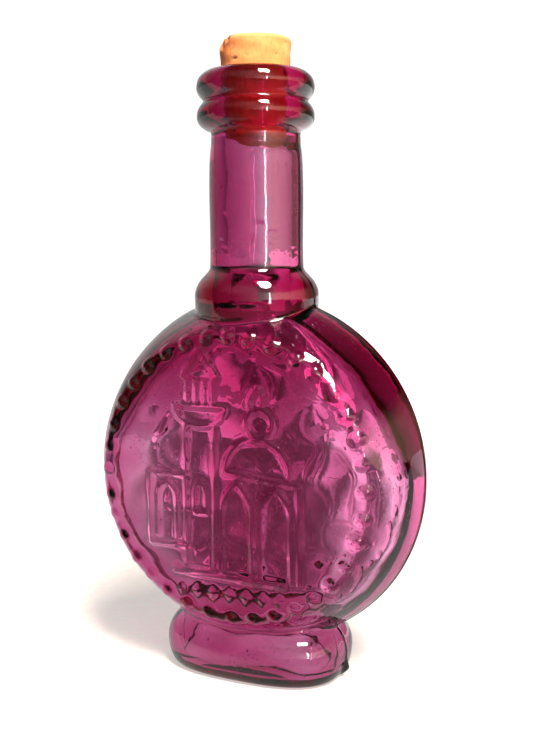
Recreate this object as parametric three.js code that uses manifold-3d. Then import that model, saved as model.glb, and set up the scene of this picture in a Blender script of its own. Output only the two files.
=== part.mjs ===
// Moulded glass moon flask, stopped with a tapered cork.
// Millimetres, +Z up. The origin lies under the middle of the flask, on the surface it stands on.
// The two round faces look along -Y and +Y, and the mould parts in the plane Y = 0.

import * as THREE from 'three';
import { mergeVertices } from 'three/addons/utils/BufferGeometryUtils.js';
import Module from 'manifold-3d';

const wasm = await Module();
wasm.setup();

// ---- Driving dimensions -------------------------------------------------------------------

// Round body
const BODY_RADIUS = 42.7;          // to the rim, under the seam
const BODY_HALF_DEPTH = 16.0;      // from the parting plane to a face
const SIDE_SLOPE = 8.6;            // from the rim in to the edge of a face
const SIDE_FULLNESS = 1.33;        // exponent of the side wall: 1 is a flat chamfer, 2 is round
const BODY_LIFT = 7.4;             // height of the rim's lowest point above the table

// Hollow of the body
const FACE_WALL = 3.3;
const RIM_WALL = 4.0;
const HOLLOW_SLOPE = 9.6;
const HOLLOW_FULLNESS = 1.8;

// Foot
const FOOT_HALF_LENGTH = 23.4;
const FOOT_HALF_DEPTH = 15.6;
const FOOT_BASE_INSET = 2.6;       // how far the base edge lies inside the widest outline
const FOOT_BELLY = 6.6;            // height of the widest outline
const FOOT_SHOULDER = 7.8;         // how far the foot draws in above its widest outline
const FOOT_TOP = 14.5;             // height at which the foot closes inside the body
const FOOT_SQUARENESS = 2.7;       // exponent of the outline: 2 is an ellipse
const FOOT_WALL = 3.8;
const FOOT_FLOOR = 5.0;            // thickness of the glass under the hollow

// Neck and collar. Heights are counted from the top of the rim.
const BORE_RADIUS = 7.2;
const BORE_RELIEF = 0.8;           // how much wider the bore is below the cork
const BORE_RELIEF_DROP = 2.5;      // where it has widened, below the foot of the cork
const NECK_WALL = 4.1;
const NECK_TOP_WALL = 3.5;
const NECK_LENGTH = 39.0;          // from the top of the rim to the underside of the lip
const NECK_STRAIGHT = 29.0;        // how much of that keeps its full width
const COLLAR_PROUD = 3.85;
const COLLAR_MIDDLE = -1.9;
const COLLAR_RISE = 7.7;
const COLLAR_DROP = 6.1;
const COLLAR_ROOT = -9.0;

// Lip of two stacked rings
const LIP_WALL = 6.9;
const LIP_GROOVE_DEPTH = 1.6;
const LIP_UNDERCUT = 2.6;
const LIP_TURNOVER = 3.0;
const LIP_RING_HEIGHT = 6.9;

// Cork
const CORK_INSERTION = 16.0;
const CORK_STANDOUT = 7.4;
const CORK_TAPER = 0.062;          // radius gained for each millimetre of height
const CORK_EDGE = 0.7;
const CORK_CLEARANCE = 0.3;
const CHIP_WIDTH = 6.0;
const CHIP_DEPTH = 3.0;
const CHIP_BEARING = 226;          // degrees round from +X

// Relief
const BEAD_COUNT = 36;
const BEAD_RADIUS = 1.9;
const BEAD_PROUD = 0.9;
const BEAD_INSET = 0.8;            // from the edge of the face to the middles of the beads
const RELIEF_PROUD = 0.8;
const LINE_WIDTH = 1.1;
const SEAM_PROUD = 0.3;
const SEAM_HALF_WIDTH = 0.5;

// Fineness of the facets
const BODY_FACETS = 60;
const HOLLOW_FACETS = 36;
const NECK_FACETS = 32;
const FOOT_FACETS = 32;
const BEAD_FACETS = 6;
const CURVE_STEPS = 6;

// Sizes worked out from the above
const FACE_RADIUS = BODY_RADIUS - SIDE_SLOPE;
const BODY_MIDDLE = BODY_LIFT + BODY_RADIUS;
const RIM_TOP = BODY_MIDDLE + BODY_RADIUS;
const LIP_BOTTOM = RIM_TOP + NECK_LENGTH;
const MOUTH = LIP_BOTTOM + 2 * LIP_RING_HEIGHT;
const CORK_BOTTOM = MOUTH - CORK_INSERTION;
const CORK_TOP = MOUTH + CORK_STANDOUT;

// ---- Helpers ------------------------------------------------------------------------------

function spread(first, last, count) {
  return Array.from({ length: count }, (unused, i) => first + ((last - first) * i) / (count - 1));
}

function signedVolume(points, corners) {
  const corner = (i) => new THREE.Vector3().fromArray(points, 3 * corners[i]);
  let volume = 0;
  for (let i = 0; i < corners.length; i += 3) {
    volume += corner(i).cross(corner(i + 1)).dot(corner(i + 2)) / 6;
  }
  return volume;
}

// A closed geometry as a solid: vertices merged, flat triangles dropped, faces turned outwards.
function solid(geometry) {
  geometry.deleteAttribute('normal');
  geometry.deleteAttribute('uv');
  const merged = mergeVertices(geometry, 1e-4);
  const corners = [];
  for (let i = 0; i < merged.index.count; i += 3) {
    const [a, b, c] = merged.index.array.slice(i, i + 3);
    if (a !== b && b !== c && c !== a) {
      corners.push(a, b, c);
    }
  }
  const vertProperties = merged.attributes.position.array;
  if (signedVolume(vertProperties, corners) < 0) {
    corners.reverse();
  }
  return new wasm.Manifold(new wasm.Mesh({ numProp: 3, vertProperties, triVerts: new Uint32Array(corners) }));
}

function joined(solids) {
  return solids.reduce((whole, piece) => whole.add(piece));
}

function geometryOf(manifold) {
  const mesh = manifold.getMesh();
  const geometry = new THREE.BufferGeometry();
  geometry.setAttribute('position', new THREE.BufferAttribute(new Float32Array(mesh.vertProperties), 3));
  geometry.setIndex(new THREE.BufferAttribute(new Uint32Array(mesh.triVerts), 1));
  geometry.computeVertexNormals();
  return geometry;
}

// A shape turned about three's own Y axis, from [radius, height] pairs.
function turned(profile, facets) {
  const points = profile.map(([radius, height]) => new THREE.Vector2(radius, height));
  return new THREE.LatheGeometry(points, facets);
}

// A shape turned about the upright axis of the neck.
function turnedUpright(profile, facets) {
  return turned(profile, facets).rotateX(Math.PI / 2);
}

// A shape turned about the front-to-back axis through the middle of the body.
function turnedThrough(profile, facets) {
  return turned(profile, facets).translate(0, 0, BODY_MIDDLE);
}

// ---- Round body and its hollow ------------------------------------------------------------

// A round box: a flat face, then a side wall that is a quarter of a superellipse out to
// the rim, and the same mirrored for the other side.
function roundBox({ rimRadius, slope, halfDepth, fullness, facets }) {
  const faceRadius = rimRadius - slope;
  const side = spread(0, Math.PI / 2, CURVE_STEPS).map((angle) => [
    faceRadius + slope * Math.sin(angle) ** (2 / fullness),
    halfDepth * Math.max(Math.cos(angle), 0) ** (2 / fullness),
  ]);
  const half = [[0, halfDepth], ...side.slice(0, -1)];
  const mirrored = half.map(([radius, depth]) => [radius, -depth]).reverse();
  return solid(turnedThrough([...half, [rimRadius, 0], ...mirrored], facets));
}

function bodySolid() {
  return roundBox({
    rimRadius: BODY_RADIUS,
    slope: SIDE_SLOPE,
    halfDepth: BODY_HALF_DEPTH,
    fullness: SIDE_FULLNESS,
    facets: BODY_FACETS,
  });
}

function hollowSolid() {
  return roundBox({
    rimRadius: BODY_RADIUS - RIM_WALL,
    slope: HOLLOW_SLOPE,
    halfDepth: BODY_HALF_DEPTH - FACE_WALL,
    fullness: HOLLOW_FULLNESS,
    facets: HOLLOW_FACETS,
  });
}

// The ridge that the two halves of the mould leave round the rim.
function rimSeam() {
  const sunk = BODY_RADIUS - RIM_WALL / 2;
  return solid(turnedThrough([
    [sunk, -SEAM_HALF_WIDTH],
    [BODY_RADIUS - SEAM_PROUD, -SEAM_HALF_WIDTH],
    [BODY_RADIUS + SEAM_PROUD, 0],
    [BODY_RADIUS - SEAM_PROUD, SEAM_HALF_WIDTH],
    [sunk, SEAM_HALF_WIDTH],
    [sunk, -SEAM_HALF_WIDTH],
  ], BODY_FACETS));
}

// ---- Foot ---------------------------------------------------------------------------------

// How far the foot's outline lies inside its widest one, and its height, from floor to top.
function footBelly(floor) {
  const lower = spread(-Math.PI / 2, 0, CURVE_STEPS - 1).map((angle) => [
    FOOT_BASE_INSET * (1 - Math.cos(angle)),
    FOOT_BELLY + (FOOT_BELLY - floor) * Math.sin(angle),
  ]);
  const upper = spread(0, Math.PI / 2, CURVE_STEPS).map((angle) => [
    FOOT_SHOULDER * (1 - Math.cos(angle)),
    FOOT_BELLY + (FOOT_TOP - FOOT_BELLY) * Math.sin(angle),
  ]);
  return [...lower, ...upper.slice(1)];
}

// Moves a point of a round pad to the same place on the longer, squarer pad.
function pressPoint(x, y) {
  const radius = Math.hypot(x, y);
  if (radius < SEAM_PROUD) {
    return [0, 0];
  }
  const squared = (share) => Math.sign(share) * Math.abs(share) ** (2 / FOOT_SQUARENESS);
  const halfLength = radius + FOOT_HALF_LENGTH - FOOT_HALF_DEPTH;
  return [squared(x / radius) * halfLength, squared(y / radius) * radius];
}

// A bulging pad: a turned barrel pressed into a superellipse that is longer than it is deep.
// With no wall and no floor it is the foot; with both it is the hollow inside it.
function footPad(wall, floor) {
  const barrel = footBelly(floor).map(([inset, height]) => [FOOT_HALF_DEPTH - wall - inset, height]);
  const geometry = turnedUpright([[0, floor], ...barrel, [0, FOOT_TOP]], FOOT_FACETS);
  const { position } = geometry.attributes;
  for (let i = 0; i < position.count; i += 1) {
    position.setXY(i, ...pressPoint(position.getX(i), position.getY(i)));
  }
  return solid(geometry);
}

// ---- Neck, collar and lip -----------------------------------------------------------------

function collarProfile() {
  const neckRadius = BORE_RADIUS + NECK_WALL;
  const middle = RIM_TOP + COLLAR_MIDDLE;
  const roll = spread(-Math.PI / 4, Math.PI / 2, CURVE_STEPS + 2).map((angle) => {
    const swell = Math.max(Math.cos(angle), 0) ** (angle < 0 ? 1 : 1.5);
    const reach = angle < 0 ? COLLAR_DROP : COLLAR_RISE;
    return [neckRadius + COLLAR_PROUD * swell, middle + reach * Math.sin(angle)];
  });
  return [[0, RIM_TOP + COLLAR_ROOT], [neckRadius, RIM_TOP + COLLAR_ROOT], ...roll];
}

// One rounded ring of the lip, from the radius under it to the radius over it.
function ringProfile(bottom, radiusUnder, radiusOver) {
  const outer = BORE_RADIUS + LIP_WALL;
  const half = LIP_RING_HEIGHT / 2;
  return spread(-Math.PI / 2, Math.PI / 2, CURVE_STEPS + 2).map((angle) => {
    const rest = angle < 0 ? radiusUnder : radiusOver;
    const swell = Math.max(Math.cos(angle), 0) ** 0.8;
    return [rest + (outer - rest) * swell, bottom + half * (1 + Math.sin(angle))];
  });
}

function neckSolid() {
  const outer = BORE_RADIUS + LIP_WALL;
  const groove = outer - LIP_GROOVE_DEPTH;
  const lowRing = ringProfile(LIP_BOTTOM, outer - LIP_UNDERCUT, groove);
  const highRing = ringProfile(LIP_BOTTOM + LIP_RING_HEIGHT, groove, outer - LIP_TURNOVER);
  return solid(turnedUpright([
    ...collarProfile(),
    [BORE_RADIUS + NECK_WALL, RIM_TOP + NECK_STRAIGHT],
    [BORE_RADIUS + NECK_TOP_WALL, LIP_BOTTOM],
    ...lowRing,
    ...highRing.slice(1),
    [0, MOUTH],
  ], NECK_FACETS));
}

// Radius of the cork at a height; the mouth is the same plus the clearance.
function corkRadius(height) {
  return BORE_RADIUS + CORK_TAPER * (height - CORK_BOTTOM);
}

// The way through the neck: a straight bore, a shoulder, then the taper that takes the cork.
function boreSolid() {
  const above = MOUTH + CORK_EDGE;
  return solid(turnedUpright([
    [0, BODY_MIDDLE],
    [BORE_RADIUS + BORE_RELIEF, BODY_MIDDLE],
    [BORE_RADIUS + BORE_RELIEF, CORK_BOTTOM - BORE_RELIEF_DROP],
    [corkRadius(CORK_BOTTOM) + CORK_CLEARANCE, CORK_BOTTOM - 2 * CORK_CLEARANCE],
    [corkRadius(above) + CORK_CLEARANCE, above],
    [0, above],
  ], NECK_FACETS));
}

// ---- Beads round each face ----------------------------------------------------------------

// One low round cap near the edge of the front face, sunk in by as much as it stands proud.
function bead(angle) {
  const ballRadius = (BEAD_RADIUS ** 2 + BEAD_PROUD ** 2) / (2 * BEAD_PROUD);
  const middle = BODY_HALF_DEPTH + BEAD_PROUD - ballRadius;
  const reach = Math.acos(1 - (2 * BEAD_PROUD) / ballRadius);
  const cap = spread(0, reach, 3).map((tilt) => [
    ballRadius * Math.sin(tilt),
    middle + ballRadius * Math.cos(tilt),
  ]);
  const geometry = turned([...cap, [0, cap.at(-1)[1]]], BEAD_FACETS).rotateX(Math.PI);
  const ringRadius = FACE_RADIUS - BEAD_INSET;
  const across = ringRadius * Math.cos(angle);
  const up = ringRadius * Math.sin(angle);
  return solid(geometry.translate(across, 0, BODY_MIDDLE + up));
}

function beadRing() {
  const step = (2 * Math.PI) / BEAD_COUNT;
  return joined(spread(0, 2 * Math.PI - step, BEAD_COUNT).map(bead));
}

// ---- Picture on each face -----------------------------------------------------------------

// The picture is laid out on a grid whose unit is a thirtieth of the face's radius.
const GRID = FACE_RADIUS / 30;
const GROUND = -19.8;
const TOWER = { middle: -6.4, halfWidth: 3.4, top: 10.6 };
const BALCONY = { halfWidth: 6.2, depth: 4.4 };
const LANTERN = { halfWidth: 2.9, height: 6.1, capHeight: 5.8 };
const WINDOW = { halfWidth: 1.4, sill: -7.4, springing: -3.4, apex: -0.8 };
const GATE = { left: -18.6, right: -10.6, sill: -15, top: 0.3 };
const HALL = { left: -1.6, middle: 6.6, right: 14.0, eaves: 1.0, domeTop: 8.9, corner: 15.8 };
const ARCH = { springing: -7, apex: -0.6 };
const FINIAL = { ball: 2.6, bulge: 1.8, tip: 18.8 };
const LOZENGE = { count: 7, pitch: 3.8, halfWidth: 1.3, halfHeight: 2.3, middle: -24.4 };

// A filled outline on the face, from inside the wall to an even height in front of it.
function plate(outline) {
  const shape = new THREE.Shape(outline.map(([x, z]) => new THREE.Vector2(x * GRID, z * GRID)));
  const start = BODY_HALF_DEPTH - FACE_WALL / 2;
  const depth = FACE_WALL / 2 + RELIEF_PROUD;
  const geometry = new THREE.ExtrudeGeometry(shape, { depth, bevelEnabled: false });
  return solid(geometry.rotateX(Math.PI / 2).translate(0, -start, BODY_MIDDLE));
}

// A raised line of even width along a path of points.
function line(path) {
  const points = path.map(([x, z]) => new THREE.Vector2(x, z));
  const half = LINE_WIDTH / 2 / GRID;
  const sideways = points.map((point, i) => {
    const before = points[Math.max(i - 1, 0)];
    const after = points[Math.min(i + 1, points.length - 1)];
    const along = after.clone().sub(before).normalize();
    return new THREE.Vector2(-along.y, along.x).multiplyScalar(half);
  });
  const left = points.map((point, i) => point.clone().add(sideways[i]).toArray());
  const right = points.map((point, i) => point.clone().sub(sideways[i]).toArray());
  return plate([...left, ...right.reverse()]);
}

// Straight raised lines from point to point, each its own bar so that corners stay square.
function bars(path) {
  const reach = LINE_WIDTH / 2 / GRID;
  return joined(path.slice(1).map((end, i) => {
    const start = new THREE.Vector2(...path[i]);
    const finish = new THREE.Vector2(...end);
    const along = finish.clone().sub(start).normalize().multiplyScalar(reach);
    return line([start.sub(along).toArray(), finish.add(along).toArray()]);
  }));
}

// A pointed arch: two legs, and two quarter curves that meet at the apex.
function archPath(left, right, foot, springing, apex) {
  const middle = (left + right) / 2;
  const path = new THREE.Path();
  path.moveTo(left, foot);
  path.lineTo(left, springing);
  path.quadraticCurveTo(left, (springing + apex) / 2, middle, apex);
  path.quadraticCurveTo(right, (springing + apex) / 2, right, springing);
  path.lineTo(right, foot);
  return path.getPoints(CURVE_STEPS).map((point) => point.toArray());
}

function halfEllipse(middle, base, halfWidth, height) {
  return spread(0, Math.PI, 2 * CURVE_STEPS).map((angle) => [
    middle + halfWidth * Math.cos(angle),
    base + height * Math.sin(angle),
  ]);
}

function tower() {
  const { middle, halfWidth, top } = TOWER;
  const deck = top + BALCONY.depth;
  const eaves = deck + LANTERN.height;
  const wall = (side) => bars([[middle + side * halfWidth, GROUND], [middle + side * halfWidth, top]]);
  const post = (side) => {
    const x = middle + side * LANTERN.halfWidth;
    return bars([[x, deck], [x, eaves]]);
  };
  const capEdge = LANTERN.halfWidth + 1;
  const cap = plate([[middle - capEdge, eaves], [middle + capEdge, eaves], [middle, eaves + LANTERN.capHeight]]);
  const balcony = plate(halfEllipse(middle, deck, BALCONY.halfWidth, -BALCONY.depth));
  const opening = archPath(
    middle - WINDOW.halfWidth, middle + WINDOW.halfWidth, WINDOW.sill, WINDOW.springing, WINDOW.apex,
  );
  return joined([wall(-1), wall(1), post(-1), post(1), cap, balcony, line(opening)]);
}

function gate() {
  const { left, right, sill, top } = GATE;
  const inset = 1.7;
  const frame = bars([[right, sill], [left, sill], [left, top], [right, top]]);
  const opening = archPath(left + inset, right - inset, sill + inset, top - 3 * inset, top - inset);
  return joined([frame, line(opening)]);
}

function hall() {
  const { left, middle, right, eaves, domeTop, corner } = HALL;
  const dome = line(halfEllipse(middle, eaves, (right - left) / 2, domeTop - eaves));
  const roofLine = bars([[left, eaves], [corner, eaves - 1]]);
  const wall = bars([[corner, eaves - 2], [corner, GROUND]]);
  const arches = [[left, middle - 1], [middle + 1, right]].map(
    ([from, to]) => line(archPath(from, to, GROUND, ARCH.springing, ARCH.apex)),
  );
  return joined([dome, roofLine, wall, ...arches]);
}

// A ball on the dome that draws up into a point.
function finial() {
  const { ball, bulge, tip } = FINIAL;
  const base = HALL.domeTop;
  const path = new THREE.Path();
  path.moveTo(HALL.middle, base);
  path.bezierCurveTo(HALL.middle + 2 * bulge, base, HALL.middle + bulge, base + 2 * ball, HALL.middle, tip);
  path.bezierCurveTo(HALL.middle - bulge, base + 2 * ball, HALL.middle - 2 * bulge, base, HALL.middle, base);
  return plate(path.getPoints(CURVE_STEPS).slice(1).map((point) => point.toArray()));
}

function lozenges() {
  const { count, pitch, halfWidth, halfHeight, middle } = LOZENGE;
  const last = ((count - 1) / 2) * pitch;
  return joined(spread(-last, last, count).map((x) => plate([
    [x - halfWidth, middle],
    [x, middle - halfHeight],
    [x + halfWidth, middle],
    [x, middle + halfHeight],
  ])));
}

function picture() {
  const groundLine = bars([[GATE.right - 2, GROUND], [HALL.corner, GROUND]]);
  return joined([tower(), gate(), hall(), finial(), groundLine, lozenges()]);
}

// ---- The two pieces -----------------------------------------------------------------------

// Both faces carry the same relief, the back one turned half round the upright axis.
function bottleGeometry() {
  const relief = picture().add(beadRing());
  const outside = joined([
    bodySolid(), rimSeam(), footPad(0, 0), neckSolid(), relief, relief.rotate([0, 0, 180]),
  ]);
  const inside = joined([hollowSolid(), footPad(FOOT_WALL, FOOT_FLOOR), boreSolid()]);
  return geometryOf(outside.subtract(inside));
}

function corkSolid() {
  return solid(turnedUpright([
    [0, CORK_BOTTOM],
    [corkRadius(CORK_BOTTOM) - CORK_EDGE, CORK_BOTTOM],
    [corkRadius(CORK_BOTTOM + CORK_EDGE), CORK_BOTTOM + CORK_EDGE],
    [corkRadius(CORK_TOP - CORK_EDGE), CORK_TOP - CORK_EDGE],
    [corkRadius(CORK_TOP) - CORK_EDGE, CORK_TOP],
    [0, CORK_TOP],
  ], NECK_FACETS));
}

// A corner broken off the upper edge of the cork.
function chipSolid() {
  const chip = new THREE.BoxGeometry(CHIP_DEPTH, CHIP_WIDTH, CHIP_DEPTH).rotateY(Math.PI / 4);
  chip.translate(corkRadius(CORK_TOP), 0, CORK_TOP);
  return solid(chip.rotateZ(THREE.MathUtils.degToRad(CHIP_BEARING)));
}

function corkGeometry() {
  return geometryOf(corkSolid().subtract(chipSolid()));
}

const glass = new THREE.MeshStandardMaterial({ color: 0xa03a68, roughness: 0.05, metalness: 0 });
const cork = new THREE.MeshStandardMaterial({ color: 0xe0ad66, roughness: 0.85, metalness: 0 });

const flask = new THREE.Group();
for (const [name, geometry, material] of [
  ['glass_bottle', bottleGeometry(), glass],
  ['cork_stopper', corkGeometry(), cork],
]) {
  const mesh = new THREE.Mesh(geometry, material);
  mesh.name = name;
  flask.add(mesh);
}

export default flask;
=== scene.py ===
# %% [markdown]
# # A moulded glass moon flask with a cork
# This lesson dresses a finished CAD model. The flask is a round, flat-faced bottle of
# purple-pink glass, blown into a two-part mould, and its mouth is stopped with a tapered cork.
# The CAD model fixes every size; here the same shape is worked out again on a fine grid, with
# the soft edges, beads and raised picture that molten glass takes from a mould.

# %% The frame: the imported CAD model, and its box
import bpy
from itertools import combinations
from mathutils import Matrix, Vector
import numpy as np


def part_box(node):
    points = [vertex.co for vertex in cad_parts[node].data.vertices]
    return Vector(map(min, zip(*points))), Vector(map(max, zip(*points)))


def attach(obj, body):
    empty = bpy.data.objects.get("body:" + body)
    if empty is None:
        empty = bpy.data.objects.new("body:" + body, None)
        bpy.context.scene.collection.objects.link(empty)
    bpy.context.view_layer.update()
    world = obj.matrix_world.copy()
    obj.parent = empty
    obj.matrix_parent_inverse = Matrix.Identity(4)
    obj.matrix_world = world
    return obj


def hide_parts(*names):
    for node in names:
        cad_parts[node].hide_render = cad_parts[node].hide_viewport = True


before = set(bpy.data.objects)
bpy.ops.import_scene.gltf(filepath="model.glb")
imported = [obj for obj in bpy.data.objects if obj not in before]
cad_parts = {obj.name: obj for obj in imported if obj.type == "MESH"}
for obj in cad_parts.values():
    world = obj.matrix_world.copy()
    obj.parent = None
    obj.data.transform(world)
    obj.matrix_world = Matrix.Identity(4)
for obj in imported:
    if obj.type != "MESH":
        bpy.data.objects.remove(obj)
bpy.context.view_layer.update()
MM = 0.001
glass_low, glass_high = (np.array(corner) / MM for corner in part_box("glass_bottle"))
cork_low, cork_high = (np.array(corner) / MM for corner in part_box("cork_stopper"))
print("glass, mm:", glass_low.round(2), glass_high.round(2))
print("cork, mm:", cork_low.round(2), cork_high.round(2))

# %% [markdown]
# ## The sizes of the flask
# A glass mould is drawn with few numbers: the radius of the rim, the depth between the faces,
# the height of the neck. The outer ones come from the frame, so that the fine model keeps to
# the CAD model's box. The rest are the mould maker's: how round the side wall is, how thick the
# glass, how far the beads stand out. All lengths are millimetres until the mesh is made. A face
# lies a little inside the box, by the room that its beads and ripples need.

# %% Sizes of the flask, in millimetres
SEAM_PROUD = 0.3
BEAD_PROUD = 0.8
RELIEF_ROOM = 0.9
RIM = glass_high[0] - SEAM_PROUD
FACE_DEPTH = glass_high[1] - RELIEF_ROOM
MOUTH = glass_high[2]
BODY_LIFT = 7.4
MIDDLE = BODY_LIFT + RIM
SIDE_SLOPE = 8.6
SIDE_FULLNESS = 1.33
FACE = RIM - SIDE_SLOPE
FACE_CROWN = 0.3

FOOT_LENGTH = 23.4
FOOT_DEPTH = 15.6
FOOT_BASE_INSET = 2.6
FOOT_BELLY = 6.6
FOOT_SHOULDER = 7.8
FOOT_TOP = 14.5
FOOT_SQUARENESS = 2.7

HOLLOW_WALL = 2.0
MIDDLE_THICKER = 2.7
TOP_THICKER = 1.3
RIM_WALL = 2.8
HOLLOW_OUTLINE = 1.55
HOLLOW_SLOPE = 10.0
HOLLOW_FULLNESS = 2.2
FOOT_WALL = 2.7
FOOT_FLOOR = 2.0
BASE_PUSH_UP = 1.0
BORE = 8.0
print(f"rim {RIM:.1f}, faces at {FACE_DEPTH:.1f}, middle {MIDDLE:.1f}, mouth {MOUTH:.1f} mm")

# %% [markdown]
# ## The camera
# A close view of a small object has strong perspective: the lip is seen from below and the foot
# from above at once. The camera stands about 24 cm away, a little above the middle of the
# flask, turned so that one side of the body shows as well as the face.

# %% The camera
CAMERA_BEARING = np.radians(25.9)
CAMERA_DISTANCE = 240.7
CAMERA_HEIGHT = 101.1
CAMERA_YAW = np.radians(-0.52)
CAMERA_PITCH = np.radians(6.19)
CAMERA_ROLL = np.radians(-0.37)
LENS = 48.37


def camera_matrix():
    """Rows right, up and back of a camera that looks along its heading, tipped down by the
    pitch and turned about its own line of sight by the roll."""
    heading = CAMERA_BEARING + CAMERA_YAW
    ahead = np.array([
        -np.sin(heading) * np.cos(CAMERA_PITCH),
        np.cos(heading) * np.cos(CAMERA_PITCH),
        -np.sin(CAMERA_PITCH),
    ])
    level = np.array([np.cos(heading), np.sin(heading), 0.0])
    upright = np.cross(level, ahead)
    right = level * np.cos(CAMERA_ROLL) + upright * np.sin(CAMERA_ROLL)
    up = upright * np.cos(CAMERA_ROLL) - level * np.sin(CAMERA_ROLL)
    place = np.array([
        CAMERA_DISTANCE * np.sin(CAMERA_BEARING),
        -CAMERA_DISTANCE * np.cos(CAMERA_BEARING),
        CAMERA_HEIGHT,
    ]) * MM
    matrix = np.eye(4)
    matrix[:3, :4] = np.column_stack([right, up, -ahead, place])
    return matrix


camera_data = bpy.data.cameras.new("camera")
camera_data.lens = LENS
camera_data.clip_start = 0.01
camera = bpy.data.objects.new("camera", camera_data)
camera.matrix_world = Matrix(camera_matrix().tolist())
bpy.context.collection.objects.link(camera)
bpy.context.scene.camera = camera
print("camera at", [round(value, 3) for value in camera.matrix_world.translation])

# %% [markdown]
# ## Helpers: joining rings of points into one closed skin
# A bottle is a pile of rings. Ring after ring goes from the middle of the base, up the outside,
# over the lip and down the inside to the floor of the foot. The face needs many columns and the
# neck few, so a ring may have twice or half as many points as the one before it.

# %% Rings into a skin


def between(lower, upper, first, last):
    """Faces between two rings. Equal counts give four-sided faces; where one ring has twice
    the points of the other, each pair of its edges closes onto one edge with three triangles."""
    if lower == upper:
        here = np.arange(lower)
        after = (here + 1) % lower
        return np.column_stack([first + here, first + after, last + after, last + here])
    few = min(lower, upper)
    one = np.arange(few)
    two = (one + 1) % few
    left, mid, right = 2 * one, 2 * one + 1, (2 * one + 2) % (2 * few)
    if lower > upper:
        parts = [
            [first + left, first + mid, last + one],
            [first + mid, first + right, last + two],
            [first + mid, last + two, last + one],
        ]
    else:
        parts = [
            [first + one, last + mid, last + left],
            [first + two, last + right, last + mid],
            [first + one, first + two, last + mid],
        ]
    return np.vstack([np.column_stack(part) for part in parts])


def skin(rings):
    """Points and faces of the surface through all rings, closed by a fan at each end."""
    sizes = [len(ring) for ring in rings]
    starts = np.concatenate([[0], np.cumsum(sizes)])
    faces = []
    for i in range(len(rings) - 1):
        faces += between(sizes[i], sizes[i + 1], starts[i], starts[i + 1]).tolist()
    points = np.vstack([*rings, rings[0].mean(0), rings[-1].mean(0)])
    base, floor = len(points) - 2, len(points) - 1
    here = np.arange(sizes[0])
    after = (here + 1) % sizes[0]
    faces += np.column_stack([np.full(sizes[0], base), after, here]).tolist()
    here = np.arange(sizes[-1]) + starts[-2]
    after = starts[-2] + (np.arange(sizes[-1]) + 1) % sizes[-1]
    faces += np.column_stack([here, after, np.full(sizes[-1], floor)]).tolist()
    return points, faces


def mesh_object(name, points, faces, material):
    """A smooth-shaded object from points in millimetres, at the origin and unturned."""
    mesh = bpy.data.meshes.new(name)
    mesh.from_pydata((points * MM).tolist(), [], faces)
    mesh.shade_smooth()
    mesh.materials.append(material)
    made = bpy.data.objects.new(name, mesh)
    bpy.context.collection.objects.link(made)
    return made


def blend_max(first, second, softness):
    """The greater of two radii, rounded off where they meet: the maximum plus a parabola that
    reaches a quarter of the softness where both are equal."""
    near = np.maximum(softness - np.abs(first - second), 0) / softness
    return np.maximum(first, second) + near ** 2 * softness / 4


# %% [markdown]
# ## The outside of the flask as one function
# Cut the flask level at any height and look down: the outline is a circle in the neck, a long
# lens in the body and a rounded oblong in the foot. Seen from the upright axis, each has one
# edge in each direction. So the outside is a single function, the radius at a bearing and a
# height, and where two shapes meet the larger wins, with a soft crease like that of real glass.

# %% The level outlines
# Distances from the seam's plane, and the space between two columns there.
COLUMN_SPACING = ([0, 0.8, 3, 9, 12, FACE_DEPTH], [0.3, 0.3, 1.0, 1.0, 0.6, 0.52])
HALVINGS = 34


def bearing_columns():
    """Bearings of the columns round the body: about half a millimetre apart across a face,
    wider on the side walls and close together at the mould seam."""
    bearing = np.linspace(0, np.pi / 2, 4000)
    radius = body_radius(bearing[None, :], np.array([[MIDDLE]]))[0]
    across = radius * np.cos(bearing)
    deep = radius * np.sin(bearing)
    step = np.hypot(np.diff(across), np.diff(deep))
    middle = (deep[1:] + deep[:-1]) / 2
    spacing = np.interp(middle, *COLUMN_SPACING)
    walked = np.concatenate([[0], np.cumsum(step / spacing)])
    quarter = np.interp(np.linspace(0, walked[-1], COLUMNS // 4 + 1), walked, bearing)
    half = np.concatenate([quarter[:-1], np.pi - quarter[:0:-1]])
    return np.concatenate([half, half + np.pi])


def round_box(bearing, height, rim, slope, depth, fullness, outline=2.0):
    """Radius of a round, flat-faced box. A point is on the wall where
    (how far past the face, over the slope) ^ fullness + (depth share) ^ fullness = 1.
    The distance in the face is (|X| ^ power + |rise| ^ power) ^ (1 / power). The power is 2, a
    circle, below the middle and the outline's above it; less than 2 cuts the shoulders off.
    The left side only grows along a ray, so the radius is found by halving an interval."""
    rise = height - MIDDLE
    low = np.zeros(np.broadcast(bearing, height).shape)
    high = low + rim + 1
    for _ in range(HALVINGS):
        middle = (low + high) / 2
        across = np.abs(middle * np.cos(bearing))
        power = np.where(rise > 0, outline, 2.0)
        distance = (across ** power + np.abs(rise) ** power) ** (1 / power)
        past = np.maximum(distance - (rim - slope), 0) / slope
        share = np.abs(middle * np.sin(bearing)) / depth
        outside = past ** fullness + share ** fullness > 1
        high = np.where(outside, middle, high)
        low = np.where(outside, low, middle)
    return np.where(np.abs(rise) < rim, low, 0)


def body_radius(bearing, height):
    """The outside of the body: a round box as wide as the rim and as deep as both faces."""
    return round_box(bearing, height, RIM, SIDE_SLOPE, FACE_DEPTH, SIDE_FULLNESS)


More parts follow.
